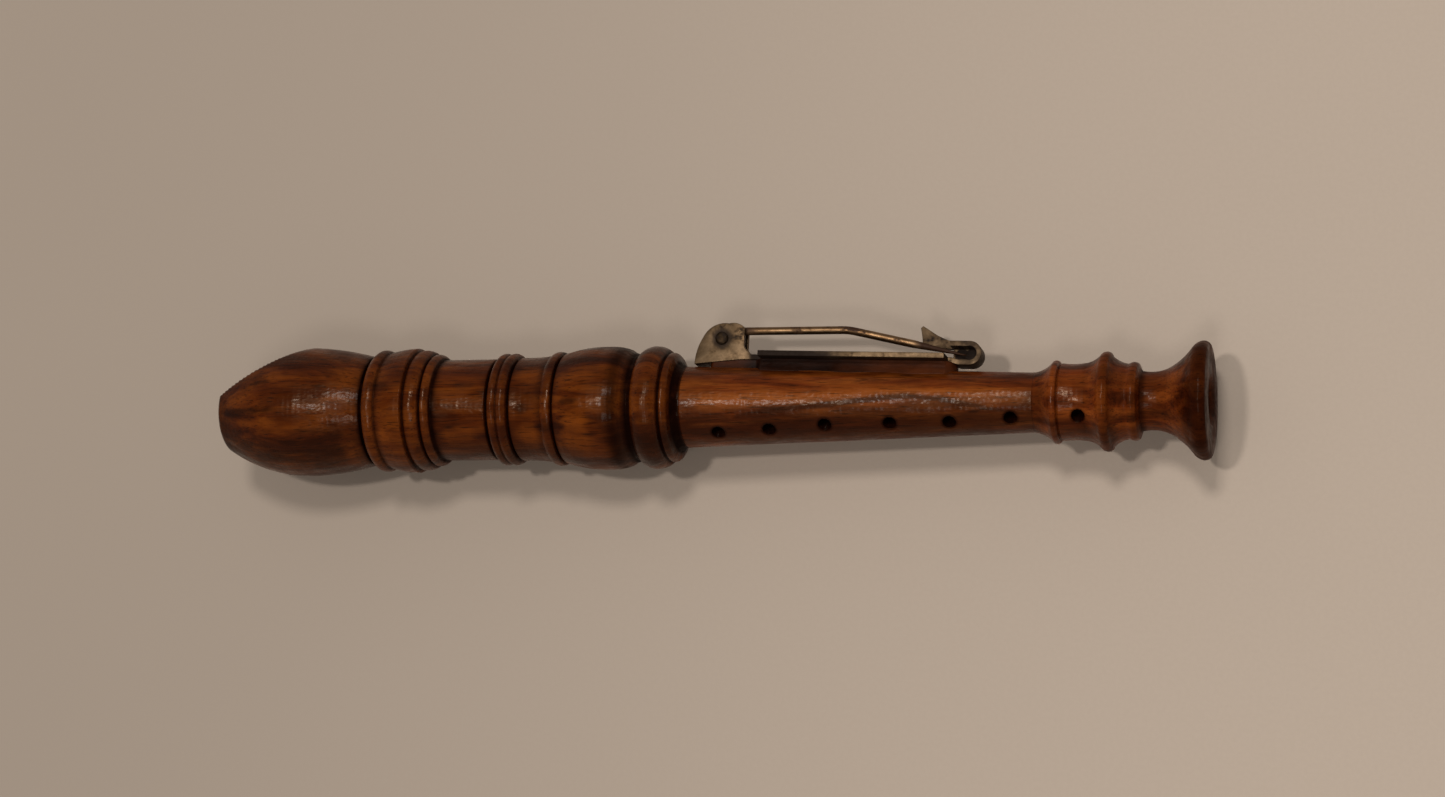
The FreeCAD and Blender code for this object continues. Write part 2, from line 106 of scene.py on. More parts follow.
def place(s, r, angle):
    """The row-frame points, in metres, at those places round the recorder's axis."""
    s, r, angle = np.broadcast_arrays(s, r, angle)
    away = (s[..., None] * np.array(ALONG) + (r * np.cos(angle))[..., None] * np.array(PIN_SIDE)
            + (r * np.sin(angle))[..., None] * np.array(UP))
    return np.array(TIP) + away * MM


def bar_places(points):
    """Distances in mm from the hinge: along the bar pin, across it (up is positive), and out."""
    away = (points - np.array(HINGE)) / MM
    return away @ np.array(BAR_ALONG), away @ np.array(UP), away @ np.array(BAR_OUT)


def bar_point(along, across, out):
    """The row-frame point at those distances from the hinge."""
    return HINGE + (BAR_ALONG * along + UP * across + BAR_OUT * out) * MM


# ---------------------------------------------------------------- materials

class Shader:
    """A short way to write a node material."""

    def __init__(self, name):
        self.material = bpy.data.materials.new(name)
        self.material.use_nodes = True
        self.tree = self.material.node_tree
        self.tree.nodes.clear()
        self.where = self.node("TexCoord").outputs["Object"]

    def node(self, kind, inputs=None, **settings):
        made = self.tree.nodes.new("ShaderNode" + kind)
        for key, value in settings.items():
            setattr(made, key, value)
        for key, value in (inputs or {}).items():
            self.feed(made.inputs[key], value)
        return made

    def feed(self, socket, value):
        if isinstance(value, bpy.types.NodeSocket):
            self.tree.links.new(value, socket)
        elif isinstance(value, tuple) and len(value) == 3 and socket.type == "RGBA":
            socket.default_value = (*value, 1.0)
        else:
            socket.default_value = value

    def stretched(self, x, y, z):
        """Object coordinates at so many units per metre along each axis."""
        return self.node("Mapping", {"Vector": self.where, "Scale": (x, y, z)}).outputs["Vector"]

    def noise(self, vector, scale=1.0, detail=4.0, rough=0.55, twist=0.0):
        values = {"Vector": vector, "Scale": scale, "Detail": detail, "Roughness": rough,
                  "Distortion": twist}
        return self.node("TexNoise", values).outputs["Fac"]

    def step(self, value, low, high, to_low=0.0, to_high=1.0):
        """A smooth step from to_low to to_high as value goes from low to high."""
        values = {"Value": value, "From Min": low, "From Max": high, "To Min": to_low, "To Max": to_high}
        return self.node("MapRange", values, interpolation_type="SMOOTHSTEP").outputs["Result"]

    def math(self, operation, a, b=0.0):
        made = self.node("Math", operation=operation)
        self.feed(made.inputs[0], a)
        self.feed(made.inputs[1], b)
        return made.outputs[0]

    def mix(self, share, a, b, blend="MIX"):
        made = self.node("Mix", data_type="RGBA", blend_type=blend)
        self.feed(made.inputs[0], share)
        self.feed(made.inputs[6], a)
        self.feed(made.inputs[7], b)
        return made.outputs[2]

    def ramp(self, value, *stops):
        made = self.node("ValToRGB", {"Fac": value})
        row = made.color_ramp.elements
        while len(row) < len(stops):
            row.new(0.5)
        for element, (position, colour) in zip(row, stops):
            element.position = position
            element.color = (*colour, 1.0)
        return made.outputs["Color"]

    def vector(self, operation, a, b=None):
        made = self.node("VectorMath", operation=operation)
        self.feed(made.inputs[0], a)
        if b is not None:
            self.feed(made.inputs[1], tuple(b) if isinstance(b, Vector) else b)
        return made.outputs["Value" if operation in ("DOT_PRODUCT", "LENGTH") else "Vector"]

    def along(self, origin, direction):
        """Distance in mm from a point along a direction."""
        away = self.vector("SUBTRACT", self.where, origin)
        return self.math("DIVIDE", self.vector("DOT_PRODUCT", away, direction), MM)

    def off_axis(self, origin, axis):
        """Distance in mm from a line."""
        away = self.vector("SUBTRACT", self.where, origin)
        across = self.vector("CROSS_PRODUCT", away, axis)
        return self.math("DIVIDE", self.vector("LENGTH", across), MM)

    def attribute(self, name):
        return self.node("Attribute", attribute_name=name).outputs["Fac"]

    def bump(self, height, depth, under=None):
        """A normal that height tilts, for a relief of depth millimetres."""
        values = {"Height": height, "Distance": depth * MM, "Strength": 1.0}
        if under is not None:
            values["Normal"] = under
        return self.node("Bump", values).outputs["Normal"]

    def finish(self, **inputs):
        values = {key.replace("_", " "): value for key, value in inputs.items()}
        surface = self.node("BsdfPrincipled", values)
        self.node("OutputMaterial", {"Surface": surface.outputs[0]})
        return self.material


# How finely each pattern in the wood varies, per metre along the grain and twice across it.
FIGURE = (60, 700, 700)
FIBRE = (260, 4200, 4200)
PORES = (520, 9000, 9000)
CLOUD = (170, 330, 330)
PATCHES = (500, 800, 800)
DRAWN_OUT = (230, 1500, 1500)
TURNING_MARKS = (5200, 120, 120)
VARNISH = (430, 700, 700)
# The height in mm of the relief that three of them make.
FIBRE_RELIEF = 0.0018
TURNING_RELIEF = 0.0010
VARNISH_RELIEF = 0.100
# The colour of burnt wood, also painted as shade in the finger holes and down the bell's bore.
CHAR_AND_SHADE = (0.0055, 0.0010, 0.0005)


def scaled(colour, share):
    """A colour made that much lighter or darker."""
    return tuple(share * part for part in colour)


def wood(name, deep, body, light, gloss=0.28):
    """Turned and varnished hardwood with lengthwise figure, pores, burnt grooves, worn edges and painted
    shade.
    """
    made = Shader(name)
    figure = made.noise(made.stretched(*FIGURE), 0.95, 5.0, 0.62, 0.6)
    fibre = made.noise(made.stretched(*FIBRE), 1.0, 3.0, 0.6)
    pores = made.noise(made.stretched(*PORES), 1.0, 1.0, 0.5)
    cloud = made.noise(made.stretched(*CLOUD), 1.0, 3.0, 0.55)
    patchy = made.noise(made.stretched(*PATCHES), 1.0, 4.0, 0.65)
    colour = made.ramp(figure, (0.34, deep), (0.46, body), (0.60, light), (0.72, body))
    colour = made.mix(made.step(cloud, 0.38, 0.60, 0.55, 0.0), colour, deep)
    crest = made.math("MULTIPLY", made.attribute("crest"), made.step(cloud, 0.35, 0.6))
    colour = made.mix(made.math("MULTIPLY", crest, 0.30), colour, light)
    drawn_out = made.noise(made.stretched(*DRAWN_OUT), 1.0, 4.0, 0.65)
    ragged = made.math("MULTIPLY", made.math("SUBTRACT", drawn_out, 0.5), 1.3)
    pale = made.step(made.math("ADD", made.attribute("pale"), ragged), 0.10, 1.05)
    colour = made.mix(pale, colour, scaled(light, 1.25))
    # Darker streaks in the wood, and painted shade on the sides near and away from the bar pin.
    stain_and_shade = made.step(made.math("ADD", made.attribute("stain_and_shade"), ragged), 0.20, 0.95)
    colour = made.mix(made.math("MULTIPLY", stain_and_shade, 0.85), colour, scaled(deep, 0.6))
    colour = made.mix(made.step(fibre, 0.50, 0.72, 0.0, 0.40), colour, deep)
    colour = made.mix(made.step(pores, 0.60, 0.70, 0.0, 0.60), colour, CHAR_AND_SHADE)
    # Burnt grooves, and painted shade in the finger holes and down the bell's bore, go towards char.
    blackened = made.math("MULTIPLY", made.attribute("burn_and_shade"), made.step(patchy, 0.25, 0.60, 0.85, 1.0))
    colour = made.mix(blackened, colour, CHAR_AND_SHADE)
    rings = made.noise(made.stretched(*TURNING_MARKS), 1.0, 3.0, 0.6)
    varnish = made.noise(made.stretched(*VARNISH), 1.0, 3.0, 0.6)
    normal = made.bump(fibre, FIBRE_RELIEF)
    normal = made.bump(rings, TURNING_RELIEF, normal)
    normal = made.bump(varnish, VARNISH_RELIEF, normal)
    rough = made.step(patchy, 0.35, 0.65, gloss - 0.08, gloss + 0.16)
    rough = made.math("ADD", rough, made.math("MULTIPLY", blackened, 0.15))
    shine = made.math("MULTIPLY", made.math("SUBTRACT", 1.15, blackened), 0.11)
    return made.finish(Base_Color=colour, Roughness=rough, Normal=normal, Specular_IOR_Level=shine,
                       Specular_Tint=(1.0, 0.66, 0.36), Coat_Weight=shine, Coat_Roughness=0.19,
                       Coat_Normal=normal, Coat_IOR=1.45)


def metal(name, bright, dull, stain_and_shade, rough, stained, tarnish_and_shade=None):
    """Plated metal, dulled, with brown tarnish in patches, and tarnish and painted shade where a mask says
    so.
    """
    made = Shader(name)
    patch = made.noise(made.stretched(420, 420, 420), 1.0, 5.0, 0.65, 0.6)
    specks = made.noise(made.stretched(3200, 3200, 3200), 1.0, 3.0, 0.6)
    drawn = made.noise(made.stretched(300, 5200, 5200), 1.0, 3.0, 0.6)
    colour = made.mix(made.step(patch, 0.35, 0.62), bright, dull)
    mark = made.step(made.math("ADD", patch, made.math("MULTIPLY", specks, 0.25)), 0.74 - stained, 0.80)
    # The given mask adds tarnish, and painted shade in and by the hook.
    if tarnish_and_shade:
        ragged = made.math("MULTIPLY", made.math("SUBTRACT", patch, 0.5), 0.7)
        mark = made.math("MAXIMUM", mark, made.step(made.math("ADD", tarnish_and_shade(made), ragged), 0.15, 0.75))
    colour = made.mix(mark, colour, stain_and_shade)
    roughness = made.math("ADD", made.step(specks, 0.3, 0.7, rough, rough + 0.12),
                          made.math("MULTIPLY", mark, 0.25))
    normal = made.bump(drawn, 0.005)
    normal = made.bump(specks, 0.008, normal)
    metallic = made.step(mark, 0.0, 1.0, 1.0, 0.3)
    return made.finish(Base_Color=colour, Metallic=metallic, Roughness=roughness, Normal=normal,
                       Specular_IOR_Level=0.3)


def sheet_tarnish_and_shade(made):
    """Tarnish and painted shade on the bar pin, by mm from the hinge: tarnish at the rivet, darker along
    the strip and at the catch, and painted shade inside the hook.
    """
    along, out = made.along(HINGE, BAR_ALONG), made.along(HINGE, BAR_OUT)
    rivet = made.step(made.off_axis(HINGE, UP), 0.50, 1.60, 0.55, 0.0)
    # Painted shade inside the hook's curl and at its mouth.
    painted_shade_in_hook = made.step(made.off_axis(bar_point(HOOK_AT, 0, HOOK_OUT), UP), 0.58, 0.66, 1.4, 0.0)
    mouth = bar_point(HOOK_AT - 0.85, 0, HOOK_OUT)
    throat = made.step(made.off_axis(mouth, UP), 0.56, 0.64, 1.4, 0.0)
    by_hinge = made.math("MULTIPLY", made.step(along, 2.0, 2.9), made.step(along, 7.0, 14.0, 0.80, 0.0))
    strip = made.math("MULTIPLY", by_hinge, made.step(out, -1.0, -0.8, 1.0, 0.0))
    lip = made.math("MULTIPLY", made.step(along, 16.2, 16.8, 0.0, 0.34), made.step(out, -0.9, -0.6))
    catch = made.math("MAXIMUM", lip, made.step(along, 19.8, 20.8, 0.0, 0.42))
    total = made.math("MAXIMUM", made.math("MAXIMUM", rivet, strip), made.math("MAXIMUM", painted_shade_in_hook, throat))
    return made.math("MAXIMUM", total, catch)


def wire_tarnish_and_shade(made):
    """The pin's wire darker by mm from the hinge: painted shadow towards the hook, and darker by its eye.
    """
    along = made.along(HINGE, BAR_ALONG)
    # Painted shadow of the hook's lip, where the wire runs under it.
    painted_shadow_by_hook = made.step(along, 15.5, 18.5, 0.0, 1.2)
    by_eye = made.step(along, 1.2, 4.5, 0.7, 0.0)
    return made.math("MAXIMUM", painted_shadow_by_hook, by_eye)


def glue_material():
    """Hard brown glue in uneven runs, darkest under the strip's hinge half, with duller specks."""
    made = Shader("hardened_glue")
    runs = made.noise(made.stretched(300, 900, 900), 1.0, 4.0, 0.6)
    dark = made.ramp(runs, (0.35, (0.007, 0.002, 0.0008)), (0.65, (0.020, 0.0055, 0.0020)))
    brown = made.ramp(runs, (0.35, (0.035, 0.0085, 0.0020)), (0.65, (0.085, 0.0200, 0.0045)))
    along = made.along(HINGE, BAR_ALONG)
    under_strip = made.math("MULTIPLY", made.step(along, 1.6, 3.0), made.step(along, 9.0, 15.0, 1.0, 0.0))
    colour = made.mix(under_strip, brown, dark)
    dust = made.noise(made.stretched(2600, 2600, 2600), 1.0, 3.0, 0.6)
    normal = made.bump(runs, 0.05)
    return made.finish(Base_Color=colour, Roughness=made.step(dust, 0.3, 0.7, 0.35, 0.6), Normal=normal,
                       Specular_IOR_Level=0.10)


def table_material():
    """The plain pale table top, with painted shade: a little darker towards the beak, lighter towards the
    bell.
    """
    made = Shader("pale_table")
    cloud = made.noise(made.stretched(9, 9, 9), 1.0, 3.0, 0.5)
    grain = made.noise(made.stretched(2600, 2600, 2600), 1.0, 3.0, 0.6)
    colour = made.ramp(cloud, (0.3, (0.555, 0.470, 0.394)), (0.7, (0.580, 0.491, 0.411)))
    across = made.along(Vector((0, 0, 0)), ALONG)
    # Painted shade: darker towards the beak, lighter towards the bell.
    shade = made.ramp(made.step(across, -70, 75), (0.0, (0.80, 0.80, 0.80)), (1.0, (1.12, 1.12, 1.12)))
    colour = made.mix(1.0, colour, shade, "MULTIPLY")
    colour = made.mix(made.step(grain, 0.35, 0.65, 0.0, 0.07), colour, (0.45, 0.37, 0.30))
    normal = made.bump(grain, 0.010)
    return made.finish(Base_Color=colour, Roughness=0.62, Normal=normal, Specular_IOR_Level=0.25)


# ---------------------------------------------------------------- pieces

# Streaks in the wood, and bands of painted shade: strength, half width in mm, and the way it takes as (mm
# from the beak, degrees round from the bar pin's side). The wide dark ones are painted shade on the sides
# near and away from the bar pin.
DARK_STREAKS_AND_SHADE = (
    (0.95, 0.44, ((0.2, 102), (4.2, 101), (6.8, 99))), (0.95, 0.30, ((5.8, 130), (9.0, 129))),
    (0.85, 0.36, ((3.3, 73), (6.3, 72))), (0.85, 0.34, ((9.5, 78), (11.2, 78))),
    (0.80, 0.45, ((12.2, 81), (13.6, 83))), (0.60, 1.00, ((14.4, 76), (17.2, 78))),
    (0.85, 0.22, ((20.8, 122), (23.0, 121))), (0.60, 0.50, ((21.5, 74), (25.0, 72))),
    (0.75, 0.80, ((27.4, 102), (29.6, 100))), (0.85, 0.42, ((31.4, 96), (34.4, 94))),
    (1.00, 0.34, ((46.2, 120), (50.0, 109), (55.0, 101), (61.3, 88), (64.3, 93), (66.5, 103), (72.4, 128))),
    (0.55, 0.80, ((45.0, 125), (50.0, 117), (56.0, 110))), (0.75, 0.55, ((69.5, 133), (77.5, 136))),
    (0.60, 0.50, ((74.6, 80), (77.0, 78))), (0.70, 0.70, ((78.0, 128), (84.5, 126))),
    # Painted shade: the wide bands from here darken the side away from the bar pin and the bar pin's side.
    (0.74, 3.20, ((-2.0, 148), (13.0, 148))), (0.50, 2.60, ((12.0, 162), (38.0, 162))),
    (0.90, 3.00, ((36.0, 144), (73.0, 144))), (0.45, 2.40, ((78.0, 158), (90.0, 158))),
    (0.55, 3.20, ((-2.0, 42), (13.0, 42))), (0.42, 2.60, ((12.0, 34), (38.0, 34))),
    (0.60, 2.20, ((72.6, 148), (80.0, 148))), (0.62, 1.70, ((36.0, 36), (74.0, 36))),
    (0.60, 1.20, ((7.6, 122), (13.0, 122))),
)
PALE_STREAKS = (
    (0.60, 0.45, ((2.0, 114), (7.0, 113))), (0.50, 0.50, ((1.8, 59), (7.0, 58))),
    (0.85, 0.90, ((15.2, 125), (17.2, 126))), (0.60, 1.10, ((20.6, 134), (24.8, 135))),
    (0.65, 1.20, ((27.4, 61), (30.8, 62))), (0.75, 1.40, ((27.6, 132), (30.6, 132))),
    (1.00, 0.80, ((31.8, 114), (35.2, 114))), (0.65, 1.60, ((31.6, 134), (35.4, 134))),
    (0.50, 1.20, ((31.8, 70), (35.4, 70))), (0.45, 0.60, ((39.2, 112), (40.4, 112))),
    (0.75, 0.75, ((43.0, 98), (52.0, 88), (60.0, 78), (66.0, 84), (72.0, 96))),
    (0.60, 0.60, ((74.8, 98), (77.6, 98))), (0.70, 0.70, ((81.2, 92), (84.2, 94))),
)


def link(name, data):
    """A new object in the scene."""
    made = bpy.data.objects.new(name, data)
    bpy.context.scene.collection.objects.link(made)
    return made


def add_piece(name, mesh, material, body, replaced):
    """A mesh as a piece that rides on a body and stands for a CAD node."""
    piece = link(name, mesh)
    mesh.materials.append(material)
    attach(piece, body)
    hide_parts(replaced)


def tube_mesh(name, rings, around):
    """A closed smooth mesh over rings of points, each with the same number of points."""
    faces = []
    for i in range(len(rings) - 1):
        for j in range(around):
            k = (j + 1) % around
            a, b = i * around, (i + 1) * around
            faces.append((a + j, a + k, b + k, b + j))
    last = (len(rings) - 1) * around
    faces.append(tuple(range(around))[::-1])
    faces.append(tuple(range(last, last + around)))
    mesh = bpy.data.meshes.new(name)
    mesh.from_pydata([tuple(point) for ring in rings for point in ring], [], faces)
    mesh.validate()
    mesh.shade_smooth()
    return mesh


def waves(s, angle, seed, rate, count=7):
    """A smooth, seeded unevenness from -1 to 1 over the turned surface."""
    draw = np.random.RandomState(seed)
    total = np.zeros(np.broadcast(s, angle).shape)
    for _ in range(count):
        turns = draw.randint(0, 6)
        total += np.sin(s * rate * draw.uniform(0.4, 1.6) + turns * angle + draw.uniform(0, 6.28))
    return total / count


def outline_of(node):
    """The turned outline (s, radius) of a wooden node, read on the side without bevel or holes."""
    beak_end = 0.9
    s, r, angle = polar(points_of(node))
    plain_side = (np.sin(angle) < -0.15) & (np.cos(angle) < 0.1)
    keep = plain_side & ((r > CORE) | (s < beak_end))
    s, r = s[keep].round(3), r[keep]
    stations = np.unique(s)
    return stations, np.array([r[s == station].max() for station in stations])


def finger_holes(node, stations, radii):
    """Where each drilled hole is, read from the vertices under the turned surface."""
    # In mm, but for the fewest vertices that a hole has.
    from_end, shallowest, deepest, apart, fewest = 0.5, 0.12, 1.75, 1.5, 6
    s, r, angle = polar(points_of(node))
    depth = np.interp(s, stations, radii) - r
    inside = (s > stations[0] + from_end) & (s < stations[-1] - from_end) & (np.sin(angle) > 0.3)
    inside &= (depth > shallowest) & (depth < deepest)
    s, r, angle = s[inside], r[inside], angle[inside]
    holes = []
    for one in np.split(np.argsort(s), np.where(np.diff(np.sort(s)) > apart)[0] + 1):
        if len(one) > fewest:
            low, high = s[one].min(), s[one].max()
            holes.append(((low + high) / 2, angle[one].mean(), (high - low) / 2, r[one].min()))
    return holes


def drilled(s, r, angle, hole):
    """Sink the surface's grid into one hole; the ring of points at its edge is drawn onto the rim.

    Returns the moved grid, and how dark each point is painted: painted shade inside the hole and round its
    rim.
    """
    # In mm, beyond the hole's radius except for the bottom's rise and the rim's rounding.
    reach, cupped, rounding, rounding_reach, painted_shade_reach = 0.45, 0.25, 0.05, 0.16, 0.24
    station, direction, radius, floor = hole
    sideways = r * np.sin(angle - direction)
    ahead = s - station
    distance = np.hypot(ahead, sideways)
    near = (distance < radius + reach) & (np.cos(angle - direction) > 0)
    edge = near & (np.abs(distance - radius) < GRID)
    pull = np.where(edge, radius / np.maximum(distance, 1e-6), 1.0)
    s = station + ahead * pull
    angle = np.where(edge, direction + np.arcsin(np.clip(sideways * pull / r, -1, 1)), angle)
    within = near & (distance < radius - GRID)
    outside = distance - radius
    rounded = rounding * np.clip(1 - outside / rounding_reach, 0, 1) ** 2
    bottom = floor + cupped * np.clip(distance / radius, 0, 1) ** 2
    depth = np.where(within, r - bottom, np.where(near, rounded, 0.0))
    # Painted shade: full inside the hole, fading out past its rim.
    blackening = near * np.clip(1 - outside / painted_shade_reach, 0, 1)
    return s, r - depth, angle, blackening


def smoothed(values, width):
    """A moving average over width millimetres of values a grid step apart."""
    count = max(3, int(width / GRID) | 1)
    padded = np.pad(values, count // 2, mode="edge")
    return np.convolve(padded, np.ones(count) / count, mode="valid")


def streaks_at(s, angle, r, streaks):
    """How strongly the streaks and painted shade bands mark each place; they follow (station, degrees)
    points.
    """
    taper, blunt, narrowest = 1.6, 0.35, 0.3
    total = np.zeros(s.shape)
    for strength, half_width, way in streaks:
        stations, degrees = np.array(way).T
        middle = np.radians(np.interp(s, stations, degrees))
        aside = r * ((angle - middle + math.pi) % (2 * math.pi) - math.pi) / half_width
        ends = np.clip(np.minimum(s - stations[0], stations[-1] - s) / taper + blunt, 0, 1)
        mark = strength * ends * np.exp(-(aside / np.maximum(ends, narrowest)) ** 2)
        total = np.maximum(total, mark)
    return total


def burnt_and_worn(even, level, scorched, blackening):
    """How burnt and how worn the turned outline is along the axis.

    Grooves are burnt and crests are worn; scorched adds (station, half width, strength) bands.
    """
    # In mm: the widths of the hollows looked for, the depths that blacken them, the height that wears.
    groove_width, cove_width = 1.5, 4.0
    black_groove, shallow_cove, black_cove, worn_crest = 0.19, 0.10, 0.5, 0.14
    hollow = smoothed(level, groove_width) - level
    cove = smoothed(level, cove_width) - level
    burn_and_shade = blackening * np.clip(hollow / black_groove, 0, 1)
    burn_and_shade += np.clip((cove - shallow_cove) / black_cove, 0, 0.35)
    for station, half_width, strength in scorched:
        burn_and_shade = np.maximum(burn_and_shade, strength * np.exp(-((even - station) / half_width) ** 2))
    return burn_and_shade, np.clip(-hollow / worn_crest, 0, 1)


def turned_piece(name, node, material, around, bevel=None, mouth=(), scorched=(), blackening=1.0):
    """One turned joint as a fine grid over its CAD outline, with holes and small unevenness.

    bevel is the beak's flat, mouth the bell's bore, scorched the bands burnt beside the grooves,
    and soot the strength of the burning in the grooves.
    """
    # In mm: how uneven the wood is round and along, how far that lowers it, and where it fades out.
    round_about, lengthwise, lowered, fade = 0.014, 0.007, 0.010, 0.4
    stations, radii = outline_of(node)
    first, last = stations[0], stations[-1]
    fine = np.unique(np.concatenate([np.arange(first, last, GRID), stations]).round(3))
    even = np.arange(first, last + GRID, GRID)
    burn_line, crest_line = burnt_and_worn(even, np.interp(even, stations, radii), scorched, blackening)
    angles = np.arange(around) * (2 * math.pi / around)
    s = np.repeat(fine[:, None], around, axis=1)
    angle = np.repeat(angles[None, :], len(fine), axis=0)
    r = np.repeat(np.interp(fine, stations, radii)[:, None], around, axis=1)
    burn_and_shade = np.interp(s, even, burn_line)
    crest = np.interp(s, even, crest_line)
    ends = np.clip(np.minimum(s - fine[0], fine[-1] - s) / fade, 0, 1)
    uneven = round_about * waves(s, angle, 3, 0.5) + lengthwise * waves(s, angle * 0, 5, 9.0)
    r = r + ends * (uneven - lowered)
    if bevel:
        start, slope = bevel
        ahead = np.cos(angle)
        cut = (start + slope * s) / np.maximum(ahead, 1e-3)
        r = np.where((ahead > 0) & (cut < r), cut, r)
    for hole in finger_holes(node, stations, radii):
        s, r, angle, painted_shade_in_hole = drilled(s, r, angle, hole)
        # Painted shade in and round the finger holes joins the burnt grooves.
        burn_and_shade = np.maximum(burn_and_shade, painted_shade_in_hole)
    layers = {"burn_and_shade": [burn_and_shade.ravel()], "crest": [crest.ravel()],
              "stain_and_shade": [streaks_at(s, angle, r, DARK_STREAKS_AND_SHADE).ravel()],
              "pale": [streaks_at(s, angle, r, PALE_STREAKS).ravel()]}
    rings = list(place(s, r, angle))
    # The bell's bore, painted dark down its length and on the rim's end: painted shade.
    for station, radius, bore_shade in mouth:
        rings.append(place(np.full(around, station), np.full(around, radius), angles))
        for label, values in layers.items():
            values.append(np.full(around, bore_shade if label == "burn_and_shade" else 0.0))
    mesh = tube_mesh(name, rings, around)
    add_piece(name, mesh, material, "brooch", node)
    for label, values in layers.items():
        layer = mesh.attributes.new(label, "FLOAT", "POINT")
        layer.data.foreach_set("value", np.clip(np.concatenate(values), 0, 1).astype(np.float32))


def beak_bevel():
    """The beak bevel as a line: distance from the axis at the tip, and its slope."""
    # It is upright, and faces the pin's side and a little towards the tip.
    mesh = frame["nodes"]["head_joint"].data
    flat = [f for f in mesh.polygons if abs(f.normal.dot(UP)) < 0.002 and f.normal.dot(PIN_SIDE) > 0.8
            and -0.6 < f.normal.dot(ALONG) < -0.2]
    face = max(flat, key=lambda f: f.area)
    away = (face.center - TIP) / MM
    slope = -face.normal.dot(ALONG) / face.normal.dot(PIN_SIDE)
    return away.dot(PIN_SIDE) - slope * away.dot(ALONG), slope


def bell_mouth():
    """The bell's drilled mouth: (distance, radius, painted shade) from the rim inwards."""
    deepest, narrowest, rounding = 9.0, 1.0, 0.3
    s, r, _ = polar(points_of("foot_joint"))
    end = s.max()
    inner = (s > end - deepest) & (r < CORE)
    wall = inner & (r > narrowest)
    bore = np.median(r[wall & (s < end - rounding)])
    rim = r[inner & (s > end - 0.05)].max()
    throat = s[wall].min()
    return ((end, rim, 0.8), (end - rounding, (rim + bore) / 2, 0.6), (end - 2 * rounding, bore, 0.9),
            (end - 2.5, bore, 1.0), (throat, bore, 1.0))


def softened_copy(name, node, material, body, width):
    """A copy of a CAD node whose sharp edges are rounded over, as stamped or cut metal has them.

    width is the rounding's, in mm; with none only the shading is smoothed.
    """
    flat, rounded, creased = math.radians(0.5), math.radians(30), math.radians(38)
    shape = bmesh.new()
    shape.from_mesh(frame["nodes"][node].data)
    bmesh.ops.remove_doubles(shape, verts=shape.verts, dist=0.0005 * MM)
    bmesh.ops.dissolve_limit(shape, angle_limit=flat, verts=shape.verts, edges=shape.edges)
    if width:
        sharp = [e for e in shape.edges if len(e.link_faces) == 2 and e.calc_face_angle() > rounded]
        bmesh.ops.bevel(shape, geom=sharp, offset=width * MM, segments=2, profile=0.6,
                        affect="EDGES", clamp_overlap=True)
    bmesh.ops.triangulate(shape, faces=[f for f in shape.faces if len(f.verts) > 4])
    mesh = bpy.data.meshes.new(name)
    shape.to_mesh(mesh)
    shape.free()
    mesh.shade_smooth()
    mesh.set_sharp_from_angle(angle=creased)
    add_piece(name, mesh, material, body, node)


def glue_piece(material):
    """Glue squeezed between the round wood and the flat strip and neck, uneven along both edges."""
    name, sections, columns = "glue_squeezed_out", 190, 15
    # In mm: where the glue's edge stays inside the strip's, how far its foot spreads under the neck
    # and under the strip, how uneven both are, and how far it runs on past the strip's far end.
    inset, foot, strip_foot, edge_wave, foot_wave, beyond = 1.10, 0.08, 0.22, 0.12, 0.13, 0.75
    # In mm: how far it tapers at its two ends, and reaches into the strip and into the wood.
    first_taper, last_taper, into_strip, into_wood = 0.3, 0.8, 0.01, 0.05
    along, across, out = bar_places(points_of("pin_back"))
    strip = np.abs(across) > 2.0
    start, finish, half = along[strip].min(), along[strip].max(), across[strip].max()
    under = out[strip].min()
    along, across, _ = bar_places(points_of("glue_bed"))
    neck_half = across[along < start - 0.5].max()
    stations, radii = outline_of("middle_joint")
    s_hinge, r_hinge, _ = (float(values[0]) for values in polar(np.array([HINGE])))
    crown = r_hinge - np.interp(s_hinge, stations, radii)
    first, last = along.min(), finish + beyond
    rings = []
    for x in np.linspace(first, last, sections):
        radius = np.interp(s_hinge + x, stations, radii)
        ends = math.sqrt(max(0.02, min(1.0, (x - first) / first_taper, (last - x) / last_taper)))
        under_strip = min(max((x - start) / 0.5 + 0.9, 0.0), 1.0)
        section = []
        for side in (1, -1):
            wave = float(waves(np.array(x), np.array(0.0), 11 + side, 0.8))
            top_width = neck_half + (half - inset + edge_wave * wave - neck_half) * under_strip
            foot_width = top_width + foot + (strip_foot + foot_wave * wave) * under_strip
            flank = []
            for t in np.linspace(0, 1, columns):
                y = (top_width + (foot_width - top_width) * t ** 2.2) * ends
                wood_at = -crown + math.sqrt(radius ** 2 - y ** 2) - radius
                z = (under + into_strip) * (1 - t) + (wood_at - into_wood) * t
                flank.append(bar_point(x, y * side, z))
            section += flank if side == 1 else flank[::-1]
        rings.append(section)
    add_piece(name, tube_mesh(name, rings, 2 * columns), material, "brooch", "glue_bed")


